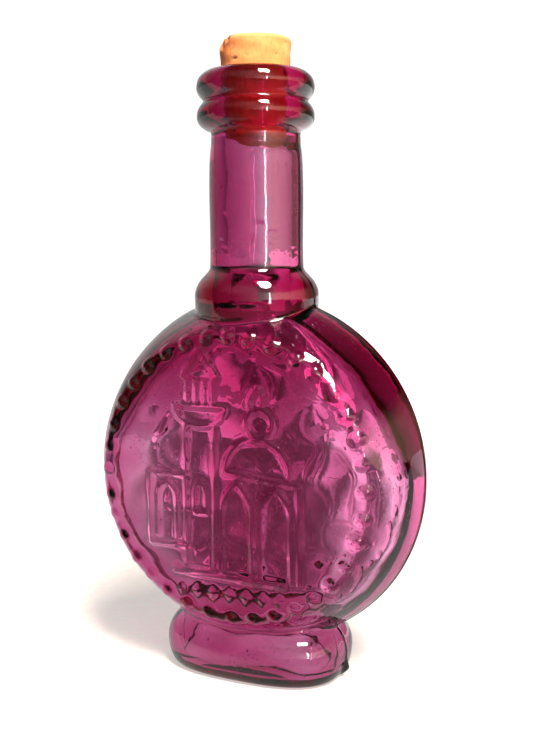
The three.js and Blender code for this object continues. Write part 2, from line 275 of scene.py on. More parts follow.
def pad_radius(bearing, height, wall, floor):
    """Radius of the foot, or with a wall and a floor of its hollow: a superellipse whose half
    axes shrink by the same inset, which is a quarter circle under and over the belly."""
    under = (FOOT_BELLY - height) / (FOOT_BELLY - floor)
    over = (height - FOOT_BELLY) / (FOOT_TOP - FOOT_BELLY)
    curve = np.where(
        height < FOOT_BELLY,
        FOOT_BASE_INSET * (1 - np.sqrt(np.clip(1 - under ** 2, 0, 1))),
        FOOT_SHOULDER * (1 - np.sqrt(np.clip(1 - over ** 2, 0, 1))),
    )
    length = np.maximum(FOOT_LENGTH - wall - curve, 0.01)
    depth = np.maximum(FOOT_DEPTH - wall - curve, 0.01)
    radius = (
        np.abs(np.cos(bearing) / length) ** FOOT_SQUARENESS
        + np.abs(np.sin(bearing) / depth) ** FOOT_SQUARENESS
    ) ** (-1 / FOOT_SQUARENESS)
    return np.where((height <= FOOT_TOP) & (height >= floor), radius, 0)


# %% [markdown]
# ## The neck, collar and lip as a turned profile
# Above the body the flask is round, so its outline is a profile carried round the axis. The
# lip was formed by a tool that pinched two rings into the soft glass. The points below are the
# ones a turner would mark: the top and bottom of each swelling. A smooth curve runs through
# them, and the way down into the bore follows the cork's taper.

# %% The turned profile, from the collar over the lip to the bore
RIM_TOP = MIDDLE + RIM
CORK_CLEARANCE = 0.08
CORK_FOOT = cork_low[2]
CORK_FOOT_RADIUS = 7.2
CORK_TAPER = 0.062

COLLAR_AND_NECK = np.array([
    [13.2, RIM_TOP - 9.0], [14.0, RIM_TOP - 6.2], [14.9, RIM_TOP - 4.2], [15.15, RIM_TOP - 1.9],
    [15.1, RIM_TOP + 0.2], [14.7, RIM_TOP + 1.9], [13.7, RIM_TOP + 3.6], [12.4, RIM_TOP + 5.0],
    [11.6, RIM_TOP + 6.0], [11.32, RIM_TOP + 7.2], [11.25, RIM_TOP + 13.0],
    [11.35, RIM_TOP + 24.0], [11.2, RIM_TOP + 31.5], [10.8, RIM_TOP + 35.5],
    [10.65, RIM_TOP + 37.6],
])
LIP = np.array([
    [10.8, MOUTH - 14.0], [11.9, MOUTH - 13.6], [13.2, MOUTH - 12.7], [13.9, MOUTH - 11.7],
    [14.1, MOUTH - 10.5], [13.9, MOUTH - 9.2], [13.3, MOUTH - 8.1], [12.75, MOUTH - 7.4],
    [12.55, MOUTH - 6.9], [12.9, MOUTH - 6.3], [13.6, MOUTH - 5.5], [14.05, MOUTH - 4.4],
    [14.1, MOUTH - 3.4], [13.8, MOUTH - 2.1], [13.1, MOUTH - 1.1], [12.1, MOUTH - 0.35],
    [11.0, MOUTH - 0.04], [10.0, MOUTH], [9.3, MOUTH - 0.1], [8.75, MOUTH - 0.5],
])


def curve_through(points, step):
    """Points at an even step along a Catmull-Rom curve: between two marked points the curve is
    a cubic whose slope at each is half the way from its one neighbour to the other."""
    ends = np.vstack([2 * points[0] - points[1], points, 2 * points[-1] - points[-2]])
    share = np.linspace(0, 1, 40, endpoint=False)[:, None]
    pieces = []
    for before, start, finish, after in zip(ends[:-3], ends[1:-2], ends[2:-1], ends[3:]):
        pieces.append(0.5 * (
            2 * start + (finish - before) * share
            + (2 * before - 5 * start + 4 * finish - after) * share ** 2
            + (3 * start - before - 3 * finish + after) * share ** 3
        ))
    fine = np.vstack([*pieces, points[-1:]])
    walked = np.concatenate([[0], np.cumsum(np.hypot(*np.diff(fine, axis=0).T))])
    even = np.linspace(0, walked[-1], int(round(walked[-1] / step)) + 1)
    return np.column_stack([np.interp(even, walked, fine[:, axis]) for axis in (0, 1)])


def mouth_radius(height):
    """The taper of the mouth: the cork's own radius at that height, and a little room."""
    return CORK_FOOT_RADIUS + CORK_TAPER * (height - CORK_FOOT) + CORK_CLEARANCE


# %% [markdown]
# ## The raised picture and the beads
# Each face carries a picture in raised lines: a tower with a balcony, a gate, and a domed hall
# with two pointed arches, over a row of plain lozenges, inside a ring of beads. A mould cuts such
# lines as grooves, so on the glass each is a soft ridge. The height at a point is therefore
# a function of its distance to the nearest line, which rounds every end and corner by itself.

# %% Lines of the picture, on a grid of one thirtieth of the face
GRID = FACE / 30
GROUND = -19.8
RIDGE_HEIGHT = 0.5
RIDGE_CORE = 0.1
RIDGE_FOOT = 1.3


def arc(middle, base, half_width, height, first=0.0, last=180.0, steps=12):
    """Part of an ellipse, by the angle from its right end."""
    angle = np.radians(np.linspace(first, last, steps))
    return np.column_stack([middle + half_width * np.cos(angle), base + height * np.sin(angle)])


def arch(left, right, foot, springing, apex):
    """A pointed arch: straight legs, then each side is a parabola from leg to apex."""
    share = np.linspace(0, 1, 7)
    middle = (left + right) / 2
    shoulder = (springing + apex) / 2
    rising = np.column_stack([
        (1 - share) ** 2 * left + 2 * share * (1 - share) * left + share ** 2 * middle,
        (1 - share) ** 2 * springing + 2 * share * (1 - share) * shoulder + share ** 2 * apex,
    ])
    falling = np.column_stack([left + right - rising[::-1, 0], rising[::-1, 1]])
    return np.vstack([[left, foot], rising, falling[1:], [right, foot]])


def tower_lines():
    """A tower: two upright sides and a small arched window, a balcony over them, which is the
    lower half of an ellipse, then four posts and a pointed cap."""
    middle, half, top, deck, eaves = -6.4, 3.4, 10.6, 15.0, 21.1
    lines = [[[middle + side * half, GROUND], [middle + side * half, top]] for side in (-1, 1)]
    lines += [[[middle + x, deck], [middle + x, eaves]] for x in (-2.9, -0.9, 1.1, 2.9)]
    cap = [[middle - 4, eaves], [middle + 4, eaves], [middle, eaves + 5.8], [middle - 4, eaves]]
    lines.append(cap)
    lines.append(arc(middle, deck, 6.0, -4.2))
    lines.append([[middle - 6.0, deck], [middle + 6.0, deck]])
    lines.append(arch(middle - 1.4, middle + 1.4, -7.4, -3.4, -0.8))
    lines.append([[middle - 1.4, -7.4], [middle + 1.4, -7.4]])
    return lines


def gate_lines():
    """A gate: three sides and a sill, with a pointed arch inside them."""
    left, right, sill, top = -18.6, -10.6, -15.0, 0.3
    frame_line = [[right, sill], [left, sill], [left, top], [right, top]]
    return [frame_line, arch(left + 1.7, right - 1.5, sill + 1.7, top - 5, top - 1.6)]


def hall_lines():
    """A hall: half an ellipse as its dome, sloping eaves, a corner post and two pointed
    arches."""
    left, middle, right, eaves, corner = -0.6, 6.6, 14.0, 1.6, 15.8
    lines = [arc(middle, eaves, (right - left) / 2, 7.2, steps=20)]
    lines.append([[left, eaves], [corner, eaves - 1.6]])
    lines.append([[corner, eaves - 3], [corner, GROUND]])
    lines.append(arch(-1.6, 5.6, GROUND, -7.0, -0.4))
    lines.append(arch(7.4, 14.2, GROUND, -6.8, -0.9))
    return lines


def finial_lines():
    """What stands on the dome: a circle, and a flame, which is a smooth curve through six
    marked points."""
    base, middle = 8.9, 7.2
    ball = arc(middle, base + 3.0, 2.9, 2.9, 0, 360, 16)
    flame = np.array([
        [middle - 1.6, base + 5.2], [middle - 2.2, base + 7.6], [middle - 0.4, base + 10.2],
        [middle + 0.6, base + 8.4], [middle + 0.4, base + 6.4], [middle + 2.2, base + 4.9],
    ])
    return [ball, curve_through(flame, 0.6)]


def ground_lines():
    """The ground: two lines close together that fall a little to the right."""
    return [[[-12.8, GROUND], [12.6, GROUND - 0.4]], [[-12.8, GROUND - 0.7], [12.6, GROUND - 1.1]]]


LOZENGE_PITCH = 3.8
LOZENGE_COUNT = 7
LOZENGE_MIDDLE = -24.4
LOZENGE_HALF = (1.25, 2.2)


def segments(lines):
    """All straight pieces of all lines, as starts and ends, in millimetres."""
    starts = np.vstack([np.asarray(one, float)[:-1] for one in lines]) * GRID
    ends = np.vstack([np.asarray(one, float)[1:] for one in lines]) * GRID
    return starts, ends


def distance_to(across, up, starts, ends):
    """Distance from each point to the nearest piece: the point is dropped onto each piece, the
    foot of the drop is kept between its two ends, and the least distance is taken."""
    nearest = np.full(across.shape, np.inf)
    for (sx, sy), (ex, ey) in zip(starts, ends):
        along = np.array([ex - sx, ey - sy])
        share = ((across - sx) * along[0] + (up - sy) * along[1]) / max(along @ along, 1e-9)
        share = np.clip(share, 0, 1)
        gap = np.hypot(across - sx - share * along[0], up - sy - share * along[1])
        nearest = np.minimum(nearest, gap)
    return nearest


def ridge(distance):
    """Height of a raised line: full in its core, then a half cosine down to nothing."""
    share = np.clip((distance - RIDGE_CORE) / (RIDGE_FOOT - RIDGE_CORE), 0, 1)
    return RIDGE_HEIGHT * (1 + np.cos(np.pi * share)) / 2


def lozenge_height(across, up):
    """A row of lozenges: height falls from each middle as the sum of both shares grows."""
    reach = (LOZENGE_COUNT - 1) / 2 * LOZENGE_PITCH * GRID
    pitch = LOZENGE_PITCH * GRID
    nearest = np.clip(np.round((across + reach) / pitch), 0, LOZENGE_COUNT - 1) * pitch - reach
    share = np.abs(across - nearest) / (LOZENGE_HALF[0] * GRID)
    share = share + np.abs(up - LOZENGE_MIDDLE * GRID) / (LOZENGE_HALF[1] * GRID)
    return RIDGE_HEIGHT * np.clip(1.6 * (1 - share), 0, 1) ** 0.7


ALL_LINES = tower_lines() + gate_lines() + hall_lines() + finial_lines() + ground_lines()
PICTURE = segments(ALL_LINES)
print("the picture has", len(PICTURE[0]), "straight pieces")


def picture_height(across, up):
    """Height of the picture: the ridge's or the lozenges', whichever is greater."""
    height = ridge(distance_to(across, up, *PICTURE))
    return np.maximum(height, lozenge_height(across, up))


# %% [markdown]
# ## The ring of beads
# The beads were drilled into the mould with a round bit, one by one, so their spacing and size
# vary a little. A drilled hole leaves the cap of a ball. Where a ball's front lies further out
# than the face, the ball wins, which needs no joining of meshes.

# %% The ring of beads
BEAD_COUNT = 36
BEAD_SHAKE = 0.9
BEAD_LEAST = 0.78
BEAD_CREASE = 0.3
BEAD_RADIUS = 1.8
BEAD_RING = FACE - 0.8
BEAD_BALL = (BEAD_RADIUS ** 2 + BEAD_PROUD ** 2) / (2 * BEAD_PROUD)
shake = np.random.default_rng(7)
even_degrees = np.arange(BEAD_COUNT) * 360 / BEAD_COUNT
bead_degrees = even_degrees + shake.uniform(-BEAD_SHAKE, BEAD_SHAKE, BEAD_COUNT)
bead_bearings = np.radians(bead_degrees)
bead_sizes = shake.uniform(BEAD_LEAST, 1.0, BEAD_COUNT)
print(BEAD_COUNT, "beads on a ring of radius", round(BEAD_RING, 2), "mm")


def with_beads(across, depth, up):
    """Depth of the face with its beads: where a ball of each bead reaches further out than the
    glass, its front wins. A ball's front is its middle plus the root of radius^2 - distance^2."""
    ball_middle = FACE_DEPTH + BEAD_PROUD - BEAD_BALL
    for bearing, size in zip(bead_bearings, bead_sizes):
        side = across - BEAD_RING * np.cos(bearing)
        gap = side ** 2 + (up - BEAD_RING * np.sin(bearing)) ** 2
        front = ball_middle + np.sqrt(np.clip(BEAD_BALL ** 2 - gap / size, 0, None))
        near = gap < (BEAD_RADIUS * 1.6) ** 2
        reached = near & (front > depth - 0.4)
        depth = np.where(reached, blend_max(depth, front, BEAD_CREASE), depth)
    return depth


# %% [markdown]
# ## Ripples
# Glass blown by hand isn't even: it chilled in places before it filled the mould, and such slow
# waves, a centimetre or two long, bend what is seen through it. A sum of a few plane waves in
# drawn directions gives them, fainter on the outside, which touched the mould, than inside.

# %% Ripples
RIPPLES = 6
RIPPLE_REACH = 8.0


def ripples(across, up, side, longest, draw):
    """Sum of plane waves in drawn directions, with lengths from the longest down to half of it.
    The two faces have different phases, and the sum is scaled to a spread of about one."""
    turns = draw.uniform(0, np.pi, RIPPLES)
    lengths = draw.uniform(longest / 2, longest, RIPPLES)
    phases = draw.uniform(0, 2 * np.pi, RIPPLES)
    total = np.zeros(np.broadcast(across, up).shape)
    for turn, length, phase in zip(turns, lengths, phases):
        along = across * np.cos(turn) + up * np.sin(turn)
        total = total + np.sin(2 * np.pi * along / length + phase + 1.9 * side)
    return total / np.sqrt(RIPPLES / 2)


def rippled(rings, amount, longest, seed):
    """Moves points along Y by ripples, full where the glass is further than the reach from the
    plane of the seam."""
    points = np.array(rings)
    side = np.sign(points[..., 1])
    share = np.clip(np.abs(points[..., 1]) / RIPPLE_REACH, 0, 1)
    wave = ripples(points[..., 0], points[..., 2], side, longest, np.random.default_rng(seed))
    points[..., 1] += side * share * amount * wave
    return list(points)


# %% [markdown]
# ## The outside, ring by ring
# The body gets 320 columns and a row each half millimetre, so that the raised lines show; foot
# and neck need half of that. The beads and the picture push the face's points outwards along Y
# only, which keeps the columns straight. The mould's two halves met at Y = 0 and left a seam.

# %% Parts of the outside
COLUMNS = 320
ROW_STEP = 0.52
CREASE_FOOT = 1.6
CREASE_COLLAR = 0.8
SEAM_WIDTH = 0.32
FIN_PROUD = 1.0
FIN_HEIGHT = 2.4
FIN_WIDTH = (0.45, 1.5)
FACE_RIPPLE = 0.045
FACE_RIPPLE_LENGTH = 16.0
BACK_PICTURE = 0.5
FACE_EDGE = 1.5


def rings_at(bearing, radius, height):
    """Rings of points from radii over bearings, one ring for each height."""
    bearing, radius, height = np.broadcast_arrays(bearing, radius, height)
    points = np.stack([radius * np.cos(bearing), radius * np.sin(bearing), height], axis=-1)
    return list(points)


def seam_ridge(bearing, radius):
    """The ridge that the parting of the mould leaves: a bell curve of the distance from Y = 0."""
    return SEAM_PROUD * np.exp(-(radius * np.sin(bearing) / SEAM_WIDTH) ** 2)


def foot_fin(bearing, radius, height):
    """A fin of glass that escaped the mould low on the seam at one end of the foot: two bell
    curves, of the distance from the seam and of the height."""
    across, up = FIN_WIDTH
    across_seam = np.exp(-(radius * np.sin(bearing) / across) ** 2) * (np.cos(bearing) > 0)
    return FIN_PROUD * across_seam * np.exp(-((height - FIN_HEIGHT) / up) ** 2)


def outside_radius(bearing, height):
    """The greatest of the radii of body, foot and neck, with rounded creases."""
    foot = pad_radius(bearing, height, 0, 0)
    neck = np.interp(height, COLLAR_CURVE[:, 1], COLLAR_CURVE[:, 0]) * np.ones_like(foot)
    radius = blend_max(body_radius(bearing, height), foot, CREASE_FOOT)
    return blend_max(radius, neck, CREASE_COLLAR)


def faced(rings):
    """Pushes the points on both faces out by the crown, the picture and the beads, and leaves
    the side wall, which is nearer the seam, alone. The picture is shallower on the back, or its
    lines and the front's could not be told apart."""
    points = np.array(rings)
    across, deep, up = points[..., 0], points[..., 1], points[..., 2] - MIDDLE
    side = np.sign(deep)
    distance = np.hypot(across, up)
    on_face = np.clip((FACE - distance) / FACE_EDGE, 0, 1) * (np.abs(deep) > FACE_DEPTH * 0.75)
    crown = FACE_CROWN * np.clip(1 - (distance / FACE) ** 2, 0, 1)
    picture = picture_height(-side * across, up) * np.where(side > 0, BACK_PICTURE, 1.0)
    raised = np.abs(deep) + on_face * (crown + picture)
    body = (distance < FACE + 3) & (np.abs(deep) > FACE_DEPTH * 0.7)
    raised = np.where(body, with_beads(across, raised, up), raised)
    points[..., 1] = side * raised
    return list(points)


# %% Rings of the base and the foot
COLLAR_CURVE = curve_through(COLLAR_AND_NECK, 0.55)
LIP_CURVE = curve_through(LIP, 0.42)
BASE_ROUND = (0.45, 0.5)
columns = bearing_columns()
even = np.arange(COLUMNS) * 2 * np.pi / COLUMNS
JOIN = RIM_TOP + 0.9

foot_rows = np.arange(0.0, BODY_LIFT + 3.0, ROW_STEP)
body_rows = np.arange(foot_rows[-1] + ROW_STEP, JOIN, ROW_STEP)
base_shares = np.array([0.3, 0.6, 0.8, 0.92, 0.98])
half_columns, half_even = columns[::2], even[::2]
base_radius = pad_radius(half_columns[None, :], np.array([[0.0]]), 0, 0)

outside = []
for share in base_shares:
    dish = BASE_PUSH_UP * np.clip(1 - (share / 0.85) ** 2, 0, 1)
    outside += rings_at(half_columns[None, :], base_radius * share, dish)
foot_grid = foot_rows[:, None]
foot_radius = outside_radius(half_columns[None, :], foot_grid)
base_round = BASE_ROUND[0] * np.clip(1 - foot_grid / BASE_ROUND[1], 0, 1)
foot_radius = foot_radius - base_round + seam_ridge(half_columns, foot_radius)
foot_radius = foot_radius + foot_fin(half_columns, foot_radius, foot_grid)
outside += rings_at(half_columns, foot_radius, foot_grid)
print("foot:", len(outside), "rings, least radius", round(float(foot_radius.min()), 2), "mm")

# %% Rings of the body
# Its columns start at the bearings that suit the face and end evenly spaced, as the neck's are.
body_grid = body_rows[:, None]
toward_even = np.clip((body_grid - (RIM_TOP - 9)) / 9.5, 0, 1)
body_bearings = columns * (1 - toward_even) + even * toward_even
body_grid_radius = outside_radius(body_bearings, body_grid)
body_grid_radius = body_grid_radius + seam_ridge(body_bearings, body_grid_radius)
body_rings = rings_at(body_bearings, body_grid_radius, body_grid)
outside += rippled(faced(body_rings), FACE_RIPPLE, FACE_RIPPLE_LENGTH, 3)

# %% Rings of the neck and the lip
# A fine raised line under the lip shows where the mould ended and the lip tool began.
FINISH_LINE = (0.12, 0.35, RIM_TOP + 37.0)
neck_curve = COLLAR_CURVE[COLLAR_CURVE[:, 1] > body_rows[-1] + ROW_STEP / 2]
neck_radius = neck_curve[:, :1]
proud, width, level = FINISH_LINE
finish_line = proud * np.exp(-((neck_curve[:, 1:] - level) / width) ** 2)
neck_outline = neck_radius + seam_ridge(half_even, neck_radius) + finish_line
outside += rings_at(half_even, neck_outline, neck_curve[:, 1:])
outside += rings_at(half_even, LIP_CURVE[:, :1], LIP_CURVE[:, 1:])
print(len(outside), "rings outside")

# %% [markdown]
# ## The inside
# The air that blew the glass against the mould left a hollow of its own shape: thin behind the
# rim, thickest along the upright middle of both faces and under the shoulders, and a little to
# one side of the middle. The same kinds of outline make it, drawn in by a wall. It runs down
# from the lip, so the whole flask is one skin and its walls are real glass.

# %% Rings of the mouth and the bore
quarter_even = even[::4]
BORE_SHOULDER = 3.0
BORE_RIPPLE = 0.06
BORE_RIPPLE_LENGTH = 14.0
BORE_SHIFT = 0.6
mouth_rows = np.arange(MOUTH - 1.4, CORK_FOOT, -2.0)[:, None]
inside = rings_at(quarter_even, mouth_radius(mouth_rows), mouth_rows)
bore_rows = np.arange(CORK_FOOT - 0.6, RIM_TOP - 3, -1.2)[:, None]
shoulder = np.clip((CORK_FOOT - 0.6 - bore_rows) / BORE_SHOULDER, 0, 1)
shoulder = shoulder ** 2 * (3 - 2 * shoulder)
bore_radius = mouth_radius(CORK_FOOT) * (1 - shoulder) + BORE * shoulder
bore_rings = rings_at(quarter_even, bore_radius, bore_rows)
bore_rings = rippled(bore_rings, BORE_RIPPLE, BORE_RIPPLE_LENGTH, 5)
inside += [ring + [shift, 0, 0] for ring, shift in zip(bore_rings, BORE_SHIFT * shoulder[:, 0])]
print("mouth and bore:", len(inside), "rings, bore", BORE, "mm in radius")

# %% Rings of the hollow, down to the floor of the foot
HOLLOW_RIPPLE = 0.22
HOLLOW_RIPPLE_LENGTH = 17.0
HOLLOW_ROW = 0.9
CREASE_BORE = 4.0
CREASE_HOLLOW_FOOT = 3.0
MIDDLE_WIDTH = 15.0
SHOULDER_FROM = 10
SHOULDER_OVER = 18
LEAN_FROM = 22
LEAN_OVER = 14
OFF_SEAM = 6
FLOOR_SHARES = (0.95, 0.8, 0.5, 0.25)


def inside_radius(bearing, height):
    """The greatest of the radii of hollow, bore and foot, with wider creases than outside."""
    hollow = round_box(
        bearing, height, RIM - RIM_WALL, HOLLOW_SLOPE, FACE_DEPTH - HOLLOW_WALL, HOLLOW_FULLNESS,
        HOLLOW_OUTLINE,
    )
    bore = np.where(height > MIDDLE, BORE, 0) + 0 * hollow
    foot = pad_radius(bearing, height, FOOT_WALL, FOOT_FLOOR)
    return blend_max(blend_max(hollow, bore, CREASE_BORE), foot, CREASE_HOLLOW_FOOT)


def thickened(rings):
    """Draws the hollow in behind both faces: the glass is thickest along the upright middle, by
    a bell curve of X, and under the shoulders, by a smooth step of the height. Towards the neck
    the hollow also leans to the side, to meet a bore that isn't quite central."""
    points = np.array(rings)
    across, deep, up = points[..., 0], points[..., 1], points[..., 2] - MIDDLE
    rise = np.clip((up - SHOULDER_FROM) / SHOULDER_OVER, 0, 1)
    points[..., 0] += BORE_SHIFT * np.clip((up - LEAN_FROM) / LEAN_OVER, 0, 1)
    extra = MIDDLE_THICKER * np.exp(-(across / MIDDLE_WIDTH) ** 2)
    extra = extra + TOP_THICKER * rise ** 2 * (3 - 2 * rise)
    inner = np.clip((np.abs(deep) - OFF_SEAM) / OFF_SEAM, 0, 1)
    points[..., 1] -= np.sign(deep) * extra * inner
    return list(points)


hollow_rows = np.arange(bore_rows[-1, 0] - HOLLOW_ROW, FOOT_FLOOR + 0.8, -HOLLOW_ROW)[:, None]
last_rows = FOOT_FLOOR + np.array([[0.45], [0.15], [0.03]])
hollow_rows = np.vstack([hollow_rows, last_rows])
# The columns go from the neck's even spacing to the body's over ten millimetres.
hollow_share = np.clip((hollow_rows - (RIM_TOP - 14)) / 10, 0, 1)
hollow_bearings = half_columns * (1 - hollow_share) + half_even * hollow_share
hollow_radius = inside_radius(hollow_bearings, hollow_rows)
hollow_rings = thickened(rings_at(hollow_bearings, hollow_radius, hollow_rows))
inside += rippled(hollow_rings, HOLLOW_RIPPLE, HOLLOW_RIPPLE_LENGTH, 5)
for share in FLOOR_SHARES:
    inside += rings_at(hollow_bearings[-1:], hollow_radius[-1:] * share, FOOT_FLOOR)
print(len(inside), "rings inside")

# %% [markdown]
# ## Seeds in the glass
# Old hand-gathered glass holds seeds, small bubbles drawn out a little as the glass was blown.
# A bubble is a hole, so each is a closed ball whose faces point into it, inside the walls and
# part of the same mesh. At a third of a millimetre a ball of twenty faces is round enough.

# %% Seeds
FACE_SEEDS = 300
FOOT_SEEDS = 130
NECK_SEEDS = 60
FRONT_SHARE = 0.6
SEED_LEAST = 0.09
SEED_SPREAD = 0.2
SEED_STRETCH = 1.5


def twenty_faced_ball():
    """An icosahedron: the corners (0, +-1, +-golden ratio) in all three turns. Its faces are
    the triples of corners that all lie one edge apart, wound so that they face the middle."""
    golden = (1 + 5 ** 0.5) / 2
    signs = (-1, 1)
    one_turn = np.array([(0, one, other * golden) for one in signs for other in signs])
    ball = np.vstack([np.roll(one_turn, turn, axis=1) for turn in range(3)])
    triples = np.array(list(combinations(range(12), 3)))
    first, second, third = (ball[triples[:, i]] for i in range(3))
    gaps = [first - second, second - third, third - first]
    longest = np.max([np.linalg.norm(gap, axis=1) for gap in gaps], axis=0)
    outward = np.einsum("ij,ij->i", np.cross(second - first, third - first), first)
    triples = np.where(outward[:, None] > 0, triples[:, ::-1], triples)
    return ball / np.linalg.norm(ball[0]), triples[longest < 2.01]


def seed_middles(draw):
    """Middles spread evenly over both faces, in the wall of the foot and in the neck."""
    distance = (FACE - 2) * np.sqrt(draw.uniform(0, 1, FACE_SEEDS))
    turn = draw.uniform(0, 2 * np.pi, FACE_SEEDS)
    depth = FACE_DEPTH - 0.55 - draw.uniform(0, HOLLOW_WALL - 1.5, FACE_SEEDS)
    depth = depth * np.where(draw.uniform(0, 1, FACE_SEEDS) < FRONT_SHARE, -1, 1)
    face = np.column_stack([distance * np.cos(turn), depth, MIDDLE + distance * np.sin(turn)])
    turn = draw.uniform(0, 2 * np.pi, FOOT_SEEDS)
    height = draw.uniform(2.0, 10.0, FOOT_SEEDS)
    radius = pad_radius(turn, height, 0, 0) - 0.6 - draw.uniform(0, FOOT_WALL - 1.6, FOOT_SEEDS)
    foot = np.column_stack([radius * np.cos(turn), radius * np.sin(turn), height])
    turn = draw.uniform(0, 2 * np.pi, NECK_SEEDS)
    radius = draw.uniform(BORE + 0.7, BORE + 2.6, NECK_SEEDS)
    height = draw.uniform(RIM_TOP + 8, RIM_TOP + 33, NECK_SEEDS)
    neck = np.column_stack([radius * np.cos(turn), radius * np.sin(turn), height])
    return np.vstack([face, foot, neck])


def seeds():
    """Points and faces of all seeds: one ball, scaled and moved as whole arrays."""
    draw = np.random.default_rng(11)
    middles = seed_middles(draw)
    sizes = SEED_LEAST + SEED_SPREAD * draw.uniform(0, 1, len(middles)) ** 3
    ball, triples = twenty_faced_ball()
    scales = np.column_stack([sizes, sizes, sizes * SEED_STRETCH])
    points = middles[:, None, :] + ball[None] * scales[:, None, :]
    faces = triples[None] + 12 * np.arange(len(middles))[:, None, None]
    return points.reshape(-1, 3), faces.reshape(-1, 3)


seed_points, seed_faces = seeds()
print(len(seed_points) // 12, "seeds")

# %% [markdown]
# ## The glass itself
# Coloured glass is clear: its colour comes from the light it swallows on the way through, so a
# thin wall is pink and a thick lip nearly black. A shader does this with a clear, smooth surface
# and a volume that absorbs green most, blue less and red least. The surface gets only faint
# ripples and pits, from the mould's skin. They are a node group, so that another glass could
# use them with its own scales.

# %% Glass material
GLASS_IOR = 1.5
ABSORPTION_COLOR = (0.75, 0.0, 0.43, 1)
ABSORPTION_DENSITY = 360.0
RIPPLE_HEIGHT = 0.00009
PIT_DEPTH = 0.00006
absorbed = [round(ABSORPTION_DENSITY * (1 - share)) for share in ABSORPTION_COLOR[:3]]
print("absorbed per metre, red, green, blue:", absorbed)


def new_material(name):
    """An empty node material, with its nodes and its links at hand."""
    material = bpy.data.materials.new(name)
    material.use_nodes = True
    nodes = material.node_tree.nodes
    nodes.clear()
    return material, nodes, material.node_tree.links


def ripples_and_pits_group():
    """A node group: slow noise for ripples, and small round pits that come in patches. A pit is
    where the distance to the nearest cell point is short, and a second noise thins them out."""
    group = bpy.data.node_groups.new("ripples_and_pits", "ShaderNodeTree")
    interface = group.interface
    interface.new_socket("Vector", in_out="INPUT", socket_type="NodeSocketVector")
    for name in ("Ripple Scale", "Pit Scale", "Patch Scale"):
        interface.new_socket(name, in_out="INPUT", socket_type="NodeSocketFloat")
    for name in ("Ripple", "Pits"):
        interface.new_socket(name, in_out="OUTPUT", socket_type="NodeSocketFloat")
    nodes, links = group.nodes, group.links
    entry = nodes.new("NodeGroupInput")
    leave = nodes.new("NodeGroupOutput")
    ripple = nodes.new("ShaderNodeTexNoise")
    ripple.inputs["Detail"].default_value = 2
    cells = nodes.new("ShaderNodeTexVoronoi")
    patches = nodes.new("ShaderNodeTexNoise")
    patches.inputs["Detail"].default_value = 2
    for node, scale in ((ripple, "Ripple Scale"), (cells, "Pit Scale"), (patches, "Patch Scale")):
        links.new(entry.outputs["Vector"], node.inputs["Vector"])
        links.new(entry.outputs[scale], node.inputs["Scale"])
    pit = nodes.new("ShaderNodeMapRange")
    pit.interpolation_type = "SMOOTHSTEP"
    for socket, value in (("From Min", 0.2), ("From Max", 0.05), ("To Min", 0), ("To Max", 1)):
        pit.inputs[socket].default_value = value
    links.new(cells.outputs["Distance"], pit.inputs["Value"])
    thin = nodes.new("ShaderNodeMapRange")
    for socket, value in (("From Min", 0.5), ("From Max", 0.62), ("To Min", 0), ("To Max", 1)):
        thin.inputs[socket].default_value = value
    links.new(patches.outputs["Fac"], thin.inputs["Value"])
    both = nodes.new("ShaderNodeMath")
    both.operation = "MULTIPLY"
    links.new(pit.outputs["Result"], both.inputs[0])
    links.new(thin.outputs["Result"], both.inputs[1])
    links.new(ripple.outputs["Fac"], leave.inputs["Ripple"])
    links.new(both.outputs["Value"], leave.inputs["Pits"])
    return group


def surface_texture_node(nodes, ripple_scale, pit_scale, patch_scale):
    """The node group placed once, with the three scales of one surface."""
    node = nodes.new("ShaderNodeGroup")
    node.node_tree = RIPPLES_AND_PITS
    node.inputs["Ripple Scale"].default_value = ripple_scale
    node.inputs["Pit Scale"].default_value = pit_scale
    node.inputs["Patch Scale"].default_value = patch_scale
    return node


RIPPLES_AND_PITS = ripples_and_pits_group()


def glass_material():
    """Clear, smooth glass that bends light, with absorption in its volume. The ripples and the
    pits go into two bumps, one after the other."""
    material, nodes, links = new_material("amethyst_glass")
    output = nodes.new("ShaderNodeOutputMaterial")
    shader = nodes.new("ShaderNodeBsdfPrincipled")
    shader.inputs["Base Color"].default_value = (1, 1, 1, 1)
    shader.inputs["Metallic"].default_value = 0
    shader.inputs["Roughness"].default_value = 0.01
    shader.inputs["IOR"].default_value = GLASS_IOR
    shader.inputs["Transmission Weight"].default_value = 1
    links.new(shader.outputs["BSDF"], output.inputs["Surface"])
    volume = nodes.new("ShaderNodeVolumeAbsorption")
    volume.inputs["Color"].default_value = ABSORPTION_COLOR
    volume.inputs["Density"].default_value = ABSORPTION_DENSITY
    links.new(volume.outputs["Volume"], output.inputs["Volume"])
    coordinates = nodes.new("ShaderNodeTexCoord")
    texture = surface_texture_node(nodes, ripple_scale=230, pit_scale=1050, patch_scale=70)
    links.new(coordinates.outputs["Object"], texture.inputs["Vector"])
    ripple_bump = nodes.new("ShaderNodeBump")
    ripple_bump.inputs["Distance"].default_value = RIPPLE_HEIGHT
    links.new(texture.outputs["Ripple"], ripple_bump.inputs["Height"])
    pit_bump = nodes.new("ShaderNodeBump")
    pit_bump.inputs["Distance"].default_value = PIT_DEPTH
    pit_bump.invert = True
    links.new(texture.outputs["Pits"], pit_bump.inputs["Height"])
    links.new(ripple_bump.outputs["Normal"], pit_bump.inputs["Normal"])
    links.new(pit_bump.outputs["Normal"], shader.inputs["Normal"])
    return material


